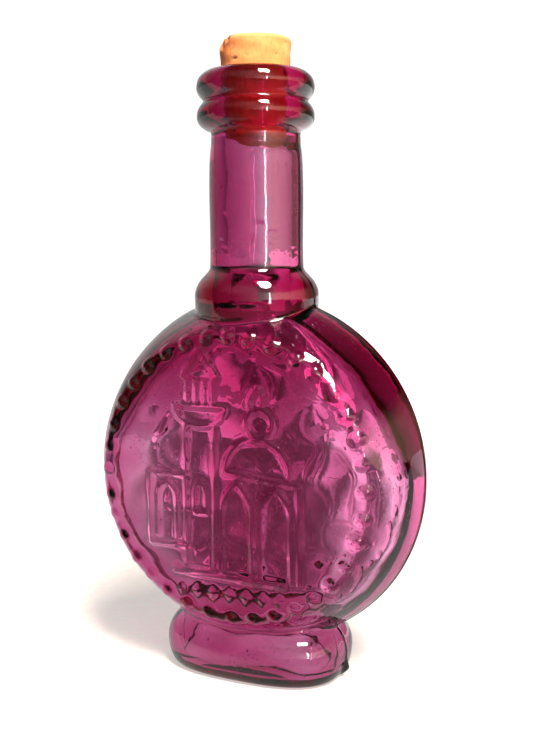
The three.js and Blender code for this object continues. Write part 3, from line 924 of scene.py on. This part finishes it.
# %% The flask
glass = glass_material()
flask_points, flask_faces = skin(outside + inside)
flask_faces += (seed_faces + len(flask_points)).tolist()
flask_points = np.vstack([flask_points, seed_points])
bottle = mesh_object("moulded_flask", flask_points, flask_faces, glass)
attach(bottle, "bottle")
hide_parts("glass_bottle")
bottle.data.calc_loop_triangles()
print("flask:", len(bottle.data.loop_triangles), "triangles")

# %% [markdown]
# ## The cork
# The stopper is punched from the bark of the cork oak and ground to a taper. Its side shows the
# bark's pores, small dark hollows, and one edge of the top has broken away. It is one profile
# carried round: a tapered side with rounded edges. The chip is a slanting plane that limits the
# radius, and each pore lowers the surface by a bell curve, so both are parts of one formula.

# %% Cork shape
CORK_TOP = cork_high[2]
CORK_EDGE = 1.0
CORK_ROWS = 110
CORK_COLUMNS = 200
CHIP_BEARING = np.radians(222)
CHIP_DEPTH = 1.7
CHIP_HEIGHT = 3.4
PORES = 46
PORE_DEEPEST = 0.6
PORE_SHARE = 0.8
CORK_UNEVEN = 0.05
cork_draw = np.random.default_rng(21)
pore_bearings = cork_draw.uniform(0, 2 * np.pi, PORES)
pore_heights = cork_draw.uniform(CORK_FOOT + 1, CORK_TOP - 1, PORES)
pore_sizes = 0.16 + 0.26 * cork_draw.uniform(0, 1, PORES) ** 3
pore_lengths = cork_draw.uniform(1.0, 2.2, PORES)


def cork_side(height):
    """The tapered side, drawn in at both ends by a quarter circle."""
    edge = np.clip(1 - np.minimum(height - CORK_FOOT, CORK_TOP - height) / CORK_EDGE, 0, 1)
    side = CORK_FOOT_RADIUS + CORK_TAPER * (height - CORK_FOOT)
    return side - CORK_EDGE * (1 - np.sqrt(1 - edge ** 2))


def chip_limit(bearing, height):
    """Radius at which a slanting plane cuts the corner: its reach over the cosine of the angle
    from the middle of the chip, made uneven by two short waves."""
    top_radius = CORK_FOOT_RADIUS + CORK_TAPER * (CORK_TOP - CORK_FOOT)
    reach = top_radius - CHIP_DEPTH * (height - CORK_TOP + CHIP_HEIGHT) / CHIP_HEIGHT
    uneven = 0.16 * np.sin(2.3 * height + 9 * bearing) + 0.1 * np.sin(5.1 * height - 17 * bearing)
    turned_away = np.cos(bearing - CHIP_BEARING)
    return np.where(turned_away > 0.3, (reach + uneven) / np.maximum(turned_away, 0.3), 99)


def pore_depth(bearing, height, radius):
    """The sum over all pores of a bell curve of the distance along the surface; a pore is
    longer round the cork than up it."""
    total = np.zeros(np.broadcast(bearing, height).shape)
    for turn, level, size, length in zip(pore_bearings, pore_heights, pore_sizes, pore_lengths):
        round_way = (np.mod(bearing - turn + np.pi, 2 * np.pi) - np.pi) * radius / (size * length)
        total = total + size * np.exp(-round_way ** 2 - ((height - level) / size) ** 2)
    return np.minimum(total, PORE_DEEPEST)


# %% Cork rings
cork_rows = np.linspace(0, 1, CORK_ROWS)[:, None]
cork_bearings = np.arange(CORK_COLUMNS) * 2 * np.pi / CORK_COLUMNS
cork_height = CORK_FOOT + (CORK_TOP - CORK_FOOT) * (1 - np.cos(np.pi * cork_rows)) / 2
cork_height = 0.5 * cork_height + 0.5 * (CORK_FOOT + (CORK_TOP - CORK_FOOT) * cork_rows)
cork_plain = cork_side(cork_height)
cork_cut = np.minimum(cork_plain, chip_limit(cork_bearings, cork_height))
cork_pores = pore_depth(cork_bearings, cork_height, cork_plain)
cork_uneven = CORK_UNEVEN * np.sin(1.7 * cork_height + 3 * cork_bearings)
cork_radius = cork_cut - PORE_SHARE * cork_pores - CORK_UNEVEN + cork_uneven
cork_rings = rings_at(cork_bearings, cork_radius, cork_height)
end_shares = (0.92, 0.75, 0.5, 0.25)
cork_low_end = [ring * [share, share, 1] for share in end_shares[::-1] for ring in cork_rings[:1]]
cork_top_end = [ring * [share, share, 1] for share in end_shares for ring in cork_rings[-1:]]
print("cork pores:", PORES, "deepest", round(float(cork_pores.max()), 2), "mm")

# %% [markdown]
# ## The look of cork
# Cork is made of tiny cells, so it is dull and warm: light wood colour with paler and redder
# clouds, fine short grain across the bark's layers, and dark dust in the pores. Clouds and grain
# are noise on the object's own coordinates. The pores' darkness is an attribute that the shape
# step already knows, so the colour sits exactly in each hollow.

# %% Cork material
CORK_TONES = [(0.30, (0.74, 0.18, 0.04)), (0.48, (0.90, 0.26, 0.07)), (0.68, (0.94, 0.36, 0.12))]
GRAIN_TONES = [(0.30, (0.74, 0.56, 0.42)), (0.5, (1, 1, 1))]
PORE_TONE = (0.12, 0.045, 0.018, 1)
GRAIN_SHARE = 0.6


def color_ramp(nodes, stops):
    """A ramp from stops, each a position and a colour. Between two stops the colour is a
    straight mix of both."""
    ramp = nodes.new("ShaderNodeValToRGB")
    elements = ramp.color_ramp.elements
    elements[0].position, elements[0].color = stops[0][0], (*stops[0][1], 1)
    elements[1].position, elements[1].color = stops[-1][0], (*stops[-1][1], 1)
    for position, color in stops[1:-1]:
        elements.new(position).color = (*color, 1)
    return ramp


def mixed(nodes, links, kind, first, second, share):
    """A Mix node for colours, by the way of mixing; the share is a number or a socket."""
    mix = nodes.new("ShaderNodeMix")
    mix.data_type = "RGBA"
    mix.blend_type = kind
    if isinstance(share, float):
        mix.inputs["Factor"].default_value = share
    else:
        links.new(share, mix.inputs["Factor"])
    for socket, source in (("A", first), ("B", second)):
        place = next(one for one in mix.inputs if one.identifier == f"{socket}_Color")
        if isinstance(source, tuple):
            place.default_value = source
        else:
            links.new(source, place)
    return next(one for one in mix.outputs if one.identifier == "Result_Color")


def cork_material():
    """Cloudy tones times a fine, layered grain, and dark as far as the pore attribute says. The
    grain is the height of the bump as well."""
    material, nodes, links = new_material("natural_cork")
    output = nodes.new("ShaderNodeOutputMaterial")
    shader = nodes.new("ShaderNodeBsdfPrincipled")
    shader.inputs["Roughness"].default_value = 0.82
    links.new(shader.outputs["BSDF"], output.inputs["Surface"])
    coordinates = nodes.new("ShaderNodeTexCoord")
    clouds = nodes.new("ShaderNodeTexNoise")
    clouds.inputs["Scale"].default_value = 150
    clouds.inputs["Detail"].default_value = 4
    links.new(coordinates.outputs["Object"], clouds.inputs["Vector"])
    tones = color_ramp(nodes, CORK_TONES)
    links.new(clouds.outputs["Fac"], tones.inputs["Fac"])
    layers = nodes.new("ShaderNodeMapping")
    layers.inputs["Scale"].default_value = (1, 1, 0.45)
    layers.inputs["Rotation"].default_value = (0.35, 0.2, 0)
    links.new(coordinates.outputs["Object"], layers.inputs["Vector"])
    grain = nodes.new("ShaderNodeTexNoise")
    grain.inputs["Scale"].default_value = 1500
    grain.inputs["Detail"].default_value = 5
    grain.inputs["Roughness"].default_value = 0.7
    links.new(layers.outputs["Vector"], grain.inputs["Vector"])
    grain_tones = color_ramp(nodes, GRAIN_TONES)
    links.new(grain.outputs["Fac"], grain_tones.inputs["Fac"])
    color = mixed(nodes, links, "MULTIPLY", tones.outputs["Color"],
                  grain_tones.outputs["Color"], GRAIN_SHARE)
    pores = nodes.new("ShaderNodeAttribute")
    pores.attribute_name = "pore"
    color = mixed(nodes, links, "MIX", color, PORE_TONE, pores.outputs["Fac"])
    links.new(color, shader.inputs["Base Color"])
    bump = nodes.new("ShaderNodeBump")
    bump.inputs["Strength"].default_value = 0.6
    bump.inputs["Distance"].default_value = 0.0001
    links.new(grain.outputs["Fac"], bump.inputs["Height"])
    links.new(bump.outputs["Normal"], shader.inputs["Normal"])
    return material


# %% The cork
cork_points, cork_faces = skin(cork_low_end + cork_rings + cork_top_end)
cork = mesh_object("tapered_cork", cork_points, cork_faces, cork_material())
before = len(end_shares) * CORK_COLUMNS
darkness = np.zeros(len(cork_points), dtype=np.float32)
darkness[before:before + cork_pores.size] = np.clip(cork_pores.ravel() / 0.3, 0, 1) ** 1.5
cork.data.attributes.new("pore", "FLOAT", "POINT").data.foreach_set("value", darkness)
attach(cork, "cork")
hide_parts("cork_stopper")
cork.data.calc_loop_triangles()
print("cork:", len(cork.data.loop_triangles), "triangles")

# %% [markdown]
# ## Helpers for materials that are sums
# The floor and the world are described by small sums of a place or a direction. Each helper
# adds one node and hands back its socket, so a material below reads like the sum it makes.

# %% Small helpers for sums in materials


def math_node(nodes, links, kind, *values):
    """One sum of numbers or sockets, by the kind that the Math node calls it, as a socket."""
    node = nodes.new("ShaderNodeMath")
    node.operation = kind
    for i, value in enumerate(values):
        if isinstance(value, (int, float)):
            node.inputs[i].default_value = value
        else:
            links.new(value, node.inputs[i])
    return node.outputs["Value"]


def smooth_step(nodes, links, value, low, high):
    """A smooth step of a value, from 0 at the low mark to 1 at the high one."""
    step = nodes.new("ShaderNodeMapRange")
    step.interpolation_type = "SMOOTHSTEP"
    step.inputs["From Min"].default_value = low
    step.inputs["From Max"].default_value = high
    links.new(value, step.inputs["Value"])
    return step.outputs["Result"]


def chosen_between(nodes, links, share, first, second):
    """The first value where the share is 0, the second where it is 1."""
    node = nodes.new("ShaderNodeMix")
    links.new(share, node.inputs["Factor"])
    for name, value in (("A", first), ("B", second)):
        if isinstance(value, (int, float)):
            node.inputs[name].default_value = value
        else:
            links.new(value, node.inputs[name])
    return node.outputs["Result"]


def seen_from_front(nodes, links, east, north):
    """Turns east and north into right and behind, for someone at the front of the flask."""
    cosine, sine = float(np.cos(CAMERA_BEARING)), float(np.sin(CAMERA_BEARING))
    right = math_node(nodes, links, "MULTIPLY_ADD", east, cosine,
                      math_node(nodes, links, "MULTIPLY", north, sine))
    behind = math_node(nodes, links, "MULTIPLY_ADD", north, cosine,
                       math_node(nodes, links, "MULTIPLY", east, -sine))
    return right, behind


# %% [markdown]
# ## The floor
# Most of what shows through a clear flask is the surface behind and under it. Product work
# stands glass on a light table, so the floor glows from just under the foot backwards: less
# along a strip behind the middle, which keeps the heart of the flask deep, more to the right.
# Looked at directly it is plain pale paper, near white, with the flask's own soft shadow.

# %% Floor
FLOOR_SIZE = 30.0
# How much of the plain paper's brightness is its own, close to the flask and far from it.
FLOOR_SEEN = (0.42, 0.92)
NEAR_AND_FAR = (0.12, 0.5)
LEFT_GLOW = 0.80
RIGHT_GLOW = 1.7
STRIP_GLOW = 0.16
FOOT_GLOW = 0.75
LEFT_REACH = 0.09
RIGHT_REACH = 0.08
CLOSE_BEHIND = (0.09, 0.03)
TABLE_EDGE = (-0.045, -0.015)
FLOOR_LEVEL = -0.0002
PAPER_TONES = [(0.3, (0.60, 0.53, 0.48)), (0.7, (0.66, 0.59, 0.54))]
# The paper as the glass mirrors it: dark, or the front of the flask would look milky.
UNSEEN_PAPER = (0.06, 0.06, 0.06, 1)


def floor_material():
    """Pale, dull paper with a faint mottle, over a light table. The table's glow is the strip's,
    plus a smooth step of the distance to the left and one of that to the right, and close
    behind the flask it is the foot's. In front of the flask it ends. The distances behind and
    to the right are sums of east and north, as the helper gives them."""
    material, nodes, links = new_material("pale_floor")
    output = nodes.new("ShaderNodeOutputMaterial")
    shader = nodes.new("ShaderNodeBsdfPrincipled")
    shader.inputs["Roughness"].default_value = 0.9
    shader.inputs["Specular IOR Level"].default_value = 0.1
    shader.inputs["Emission Color"].default_value = (1, 0.985, 0.97, 1)
    coordinates = nodes.new("ShaderNodeTexCoord")
    split = nodes.new("ShaderNodeSeparateXYZ")
    links.new(coordinates.outputs["Object"], split.inputs["Vector"])
    right, behind = seen_from_front(nodes, links, split.outputs["X"], split.outputs["Y"])
    leftward = smooth_step(nodes, links, right, 0.0, -LEFT_REACH)
    rightward = smooth_step(nodes, links, right, 0.0, RIGHT_REACH)
    table = math_node(nodes, links, "MULTIPLY_ADD", leftward, LEFT_GLOW - STRIP_GLOW, STRIP_GLOW)
    table = math_node(nodes, links, "MULTIPLY_ADD", rightward, RIGHT_GLOW - STRIP_GLOW, table)
    near = smooth_step(nodes, links, behind, *CLOSE_BEHIND)
    table = chosen_between(nodes, links, near, table, FOOT_GLOW)
    on_table = smooth_step(nodes, links, behind, *TABLE_EDGE)
    table = math_node(nodes, links, "MULTIPLY", table, on_table)
    off = nodes.new("ShaderNodeVectorMath")
    off.operation = "LENGTH"
    links.new(coordinates.outputs["Object"], off.inputs[0])
    low, high = FLOOR_SEEN
    far = smooth_step(nodes, links, off.outputs["Value"], *NEAR_AND_FAR)
    plain = math_node(nodes, links, "MULTIPLY_ADD", far, high - low, low)
    seen = nodes.new("ShaderNodeLightPath").outputs["Is Camera Ray"]
    strength = chosen_between(nodes, links, seen, table, plain)
    links.new(strength, shader.inputs["Emission Strength"])
    mottle = nodes.new("ShaderNodeTexNoise")
    mottle.inputs["Scale"].default_value = 400
    links.new(coordinates.outputs["Object"], mottle.inputs["Vector"])
    tones = color_ramp(nodes, PAPER_TONES)
    links.new(mottle.outputs["Fac"], tones.inputs["Fac"])
    paper = mixed(nodes, links, "MIX", UNSEEN_PAPER, tones.outputs["Color"], seen)
    links.new(paper, shader.inputs["Base Color"])
    links.new(shader.outputs["BSDF"], output.inputs["Surface"])
    return material


reach = FLOOR_SIZE / 2
sides = [(-1, -1), (1, -1), (1, 1), (-1, 1)]
floor_corners = [(x * reach, y * reach, FLOOR_LEVEL) for x, y in sides]
floor_mesh = bpy.data.meshes.new("floor")
floor_mesh.from_pydata(floor_corners, [], [(0, 1, 2, 3)])
floor_mesh.materials.append(floor_material())
floor = bpy.data.objects.new("floor", floor_mesh)
bpy.context.collection.objects.link(floor)
print("floor:", FLOOR_SIZE, "m square")

# %% [markdown]
# ## The surroundings
# On a plain white ground glass would have no edges. What draws them is a bright field behind
# and darker flanks, because the rim and the neck's sides bend the view far off to the side. The
# world is a soft band round the horizon with a sky above it, and warmer at the right, as from a
# wooden shelf. Anyone who looks past the flask sees plain white.

# %% World
# Degrees to the right of straight behind the flask, and the light there.
BAND = [
    (-180, 0.9), (-160, 0.30), (-140, 0.05), (-88, 0.05), (-66, 0.30), (-40, 0.60), (-12, 0.70),
    (12, 0.85), (28, 0.6), (45, 0.3), (62, 0.25), (80, 0.8), (105, 1.6), (130, 3.2),
    (160, 3.6), (180, 0.9),
]
SKY = [
    (-180, 0.8), (-130, 0.3), (-90, 0.08), (-45, 0.6), (0, 1.3), (38, 0.5), (62, 0.03),
    (120, 0.03), (150, 0.8), (180, 0.8),
]
ZENITH = 0.05
WARM = (1, 0.72, 0.48, 1)
# Shares of the full turn from straight in front, over the left, behind and the right.
WARM_FROM = (0.58, 0.70)
WARM_UNTIL = (0.95, 0.88)
TO_SKY = (0.25, 0.45)
TO_ZENITH = (0.72, 0.88)
SEEN_WHITE = (1.1, 1.1, 1.1, 1)


def around_ramp(nodes, links, turn, stops):
    """A ramp over the full turn, from -180 to 180 degrees; lights over one are scaled down by
    the greatest of them, because a ramp stops at one, and scaled up again after it."""
    most = max(light for _, light in stops)
    places = [((degrees + 180) / 360, (light / most,) * 3) for degrees, light in stops]
    ramp = color_ramp(nodes, places)
    links.new(turn, ramp.inputs["Fac"])
    return math_node(nodes, links, "MULTIPLY", ramp.outputs["Color"], most)


def studio_world():
    """Light by direction. The turn is the arctangent of (right, behind), seen from the flask;
    a band and a sky are read off by it, and the height passes from one to the other and then
    to the dim zenith. Two smooth steps of the turn bring in the warm part and end it."""
    world = bpy.data.worlds.new("studio")
    world.use_nodes = True
    nodes, links = world.node_tree.nodes, world.node_tree.links
    nodes.clear()
    direction = nodes.new("ShaderNodeTexCoord").outputs["Generated"]
    split = nodes.new("ShaderNodeSeparateXYZ")
    links.new(direction, split.inputs["Vector"])
    east, north, up = split.outputs
    right, behind = seen_from_front(nodes, links, east, north)
    angle = math_node(nodes, links, "ARCTAN2", right, behind)
    turn = math_node(nodes, links, "MULTIPLY_ADD", angle, float(0.5 / np.pi), 0.5)
    band = around_ramp(nodes, links, turn, BAND)
    sky = around_ramp(nodes, links, turn, SKY)
    to_sky = smooth_step(nodes, links, up, *TO_SKY)
    to_zenith = smooth_step(nodes, links, up, *TO_ZENITH)
    color = mixed(nodes, links, "MIX", band, sky, to_sky)
    color = mixed(nodes, links, "MIX", color, (ZENITH,) * 3 + (1,), to_zenith)
    warm = math_node(nodes, links, "MULTIPLY", smooth_step(nodes, links, turn, *WARM_FROM),
                     smooth_step(nodes, links, turn, *WARM_UNTIL))
    color = mixed(nodes, links, "MULTIPLY", color, WARM, warm)
    seen = nodes.new("ShaderNodeLightPath").outputs["Is Camera Ray"]
    color = mixed(nodes, links, "MIX", color, SEEN_WHITE, seen)
    background = nodes.new("ShaderNodeBackground")
    links.new(color, background.inputs["Color"])
    output = nodes.new("ShaderNodeOutputWorld")
    links.new(background.outputs["Background"], output.inputs["Surface"])
    return world


bpy.context.scene.world = studio_world()
bpy.context.scene.view_settings.view_transform = "Standard"
print("world: band of", len(BAND), "stops, sky of", len(SKY))

# %% [markdown]
# ## The window and the strip
# A square window high at the front right gives the short, bright marks on beads, collar and lip
# and lights the cork. A tall narrow strip below it draws the long line down the neck.

# %% The window and the strip
LIGHT_DISTANCE = 0.9


def studio_light(name, turn, rise, width, height, power, color):
    """A rectangle of light that looks at the middle of the flask. Its place is given by the
    degrees from -Y towards +X, by the degrees above the floor, and by the common distance."""
    data = bpy.data.lights.new(name, "AREA")
    data.shape = "RECTANGLE"
    data.size = width
    data.size_y = height
    data.energy = power
    data.color = color
    way = np.array([
        np.sin(np.radians(turn)) * np.cos(np.radians(rise)),
        -np.cos(np.radians(turn)) * np.cos(np.radians(rise)),
        np.sin(np.radians(rise)),
    ])
    place = Vector((way * LIGHT_DISTANCE + [0, 0, MIDDLE * MM]).tolist())
    turned = Vector(way.tolist()).to_track_quat("Z", "Y").to_matrix().to_4x4()
    light = bpy.data.objects.new(name, data)
    light.matrix_world = Matrix.Translation(place) @ turned
    bpy.context.collection.objects.link(light)
    print(name, "at", [round(value, 3) for value in place])


studio_light("window", 48, 57, 0.24, 0.40, 24.0, (1, 0.95, 0.88))
studio_light("strip", 48, 10, 0.05, 0.42, 1.6, (1, 0.97, 0.94))
